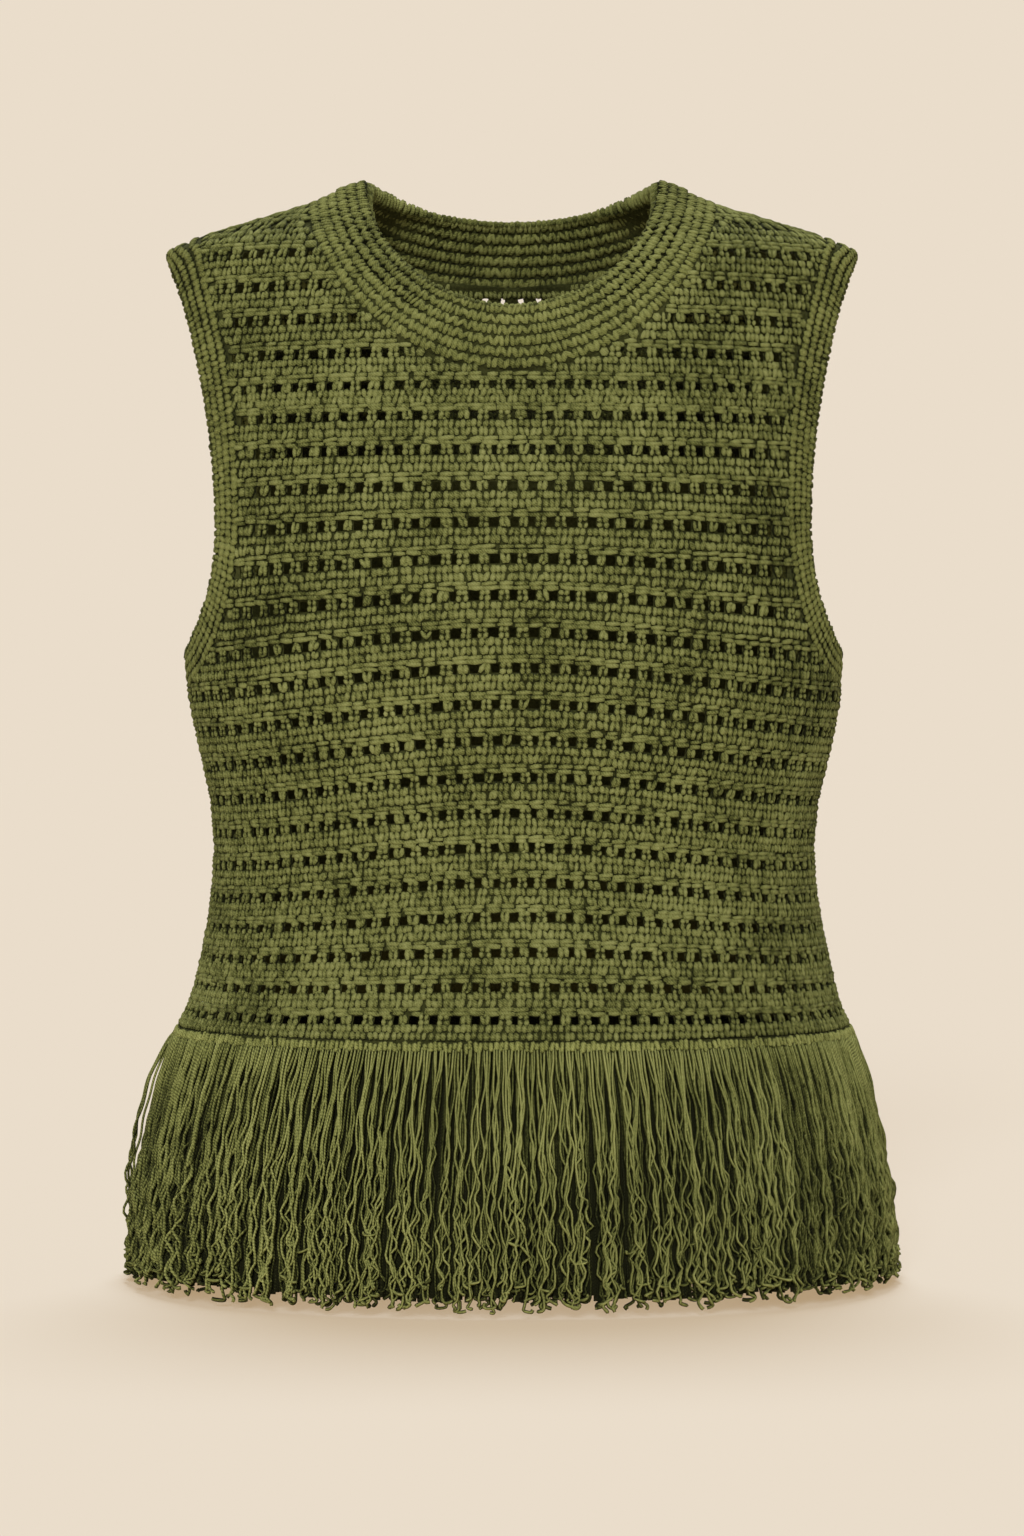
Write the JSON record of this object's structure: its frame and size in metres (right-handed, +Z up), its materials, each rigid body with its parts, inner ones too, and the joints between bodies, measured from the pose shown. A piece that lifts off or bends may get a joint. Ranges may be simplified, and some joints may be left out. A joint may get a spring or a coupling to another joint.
{
  "type": "fringe knit top",
  "caption": "Sleeveless openwork crochet top in worn shape, with a round neck band, armhole bands and a long yarn fringe along the hem.",
  "frame": {"origin": "the middle of the neck at the height of the shoulders' neck points, where the wearer's shoulders hold the top", "axes": "+Z up, -Y out of the chest, +X to the wearer's left"},
  "size_m": [0.3959, 0.2929, 0.5627],
  "materials": {
    "body_yarn": "matt olive green cotton yarn, crocheted",
    "band_yarn": "matt olive green cotton yarn, crocheted in close rounds",
    "fringe_yarn": "loose matt olive green cotton yarn"
  },
  "bodies": {
    "root": {"front_panel": "body_yarn", "back_panel": "body_yarn", "neck_band": "band_yarn", "armhole_band_left": "band_yarn", "armhole_band_right": "band_yarn", "fringe_front": "fringe_yarn", "fringe_back": "fringe_yarn"}
  },
  "joints": []
}
